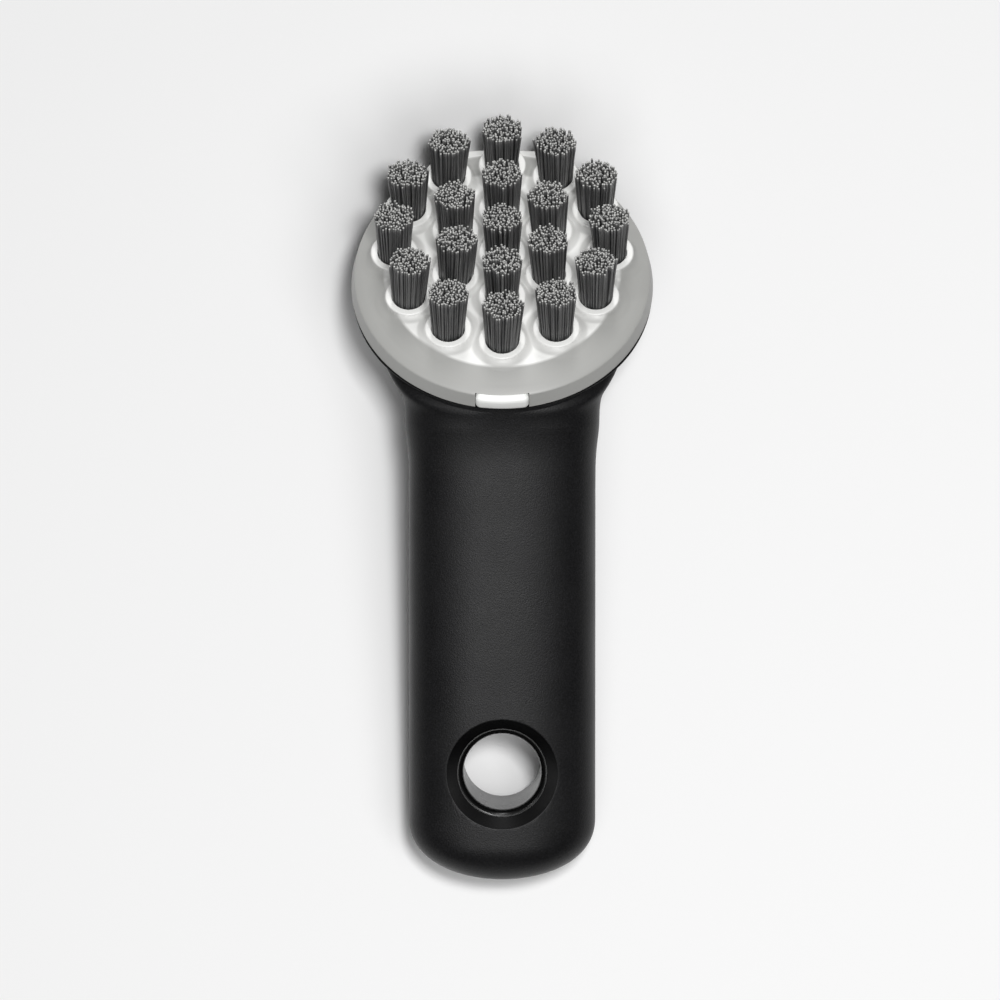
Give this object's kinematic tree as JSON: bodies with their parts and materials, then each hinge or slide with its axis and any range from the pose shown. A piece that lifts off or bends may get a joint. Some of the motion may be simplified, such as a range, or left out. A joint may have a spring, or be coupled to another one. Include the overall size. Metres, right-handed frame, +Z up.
{
  "type": "scrubbing brush",
  "caption": "Cast iron scrubbing brush: canted round head with nylon tufts, scraper toe and release tab, on a soft-skinned handle with a hanging hole.",
  "frame": {"origin": "Middle of the bounding box in X and Y, on the surface that the brush rests on, lying on its back with the bristles up.", "axes": "+Z up, +Y along the brush from the handle to the toe of the head, +X across. The brush is symmetric about the plane X = 0."},
  "size_m": [0.0624, 0.1577, 0.0494],
  "materials": {
    "core_plastic": "glossy black polypropylene",
    "grip_rubber": "matte black soft elastomer with a fine grain",
    "plate_plastic": "satin light grey moulded plastic",
    "tab_nylon": "satin white nylon",
    "anchor_steel": "plain stainless steel strip",
    "bristle_nylon": "dark grey nylon filament with pale cut tips"
  },
  "bodies": {
    "brush": {"handle_core": "core_plastic", "grip": "grip_rubber", "bristle_plate": "plate_plastic", "tuft_anchors": "anchor_steel", "tuft_centre": "bristle_nylon", "tuft_inner_1": "bristle_nylon", "tuft_inner_2": "bristle_nylon", "tuft_inner_3": "bristle_nylon", "tuft_inner_4": "bristle_nylon", "tuft_inner_5": "bristle_nylon", "tuft_inner_6": "bristle_nylon", "tuft_outer_1": "bristle_nylon", "tuft_outer_2": "bristle_nylon", "tuft_outer_3": "bristle_nylon", "tuft_outer_4": "bristle_nylon", "tuft_outer_5": "bristle_nylon", "tuft_outer_6": "bristle_nylon", "tuft_outer_7": "bristle_nylon", "tuft_outer_8": "bristle_nylon", "tuft_outer_9": "bristle_nylon", "tuft_outer_10": "bristle_nylon", "tuft_outer_11": "bristle_nylon", "tuft_outer_12": "bristle_nylon"},
    "release_tab": {"release_tab": "tab_nylon"}
  },
  "joints": [
    {"name": "tab_press", "type": "slide", "parent": "brush", "child": "release_tab", "axis": [0, 0.8175, -0.5759], "range_m": [0, 0.0012], "stiffness_N_per_m": 1500, "springref_m": -0.0006}
  ]
}
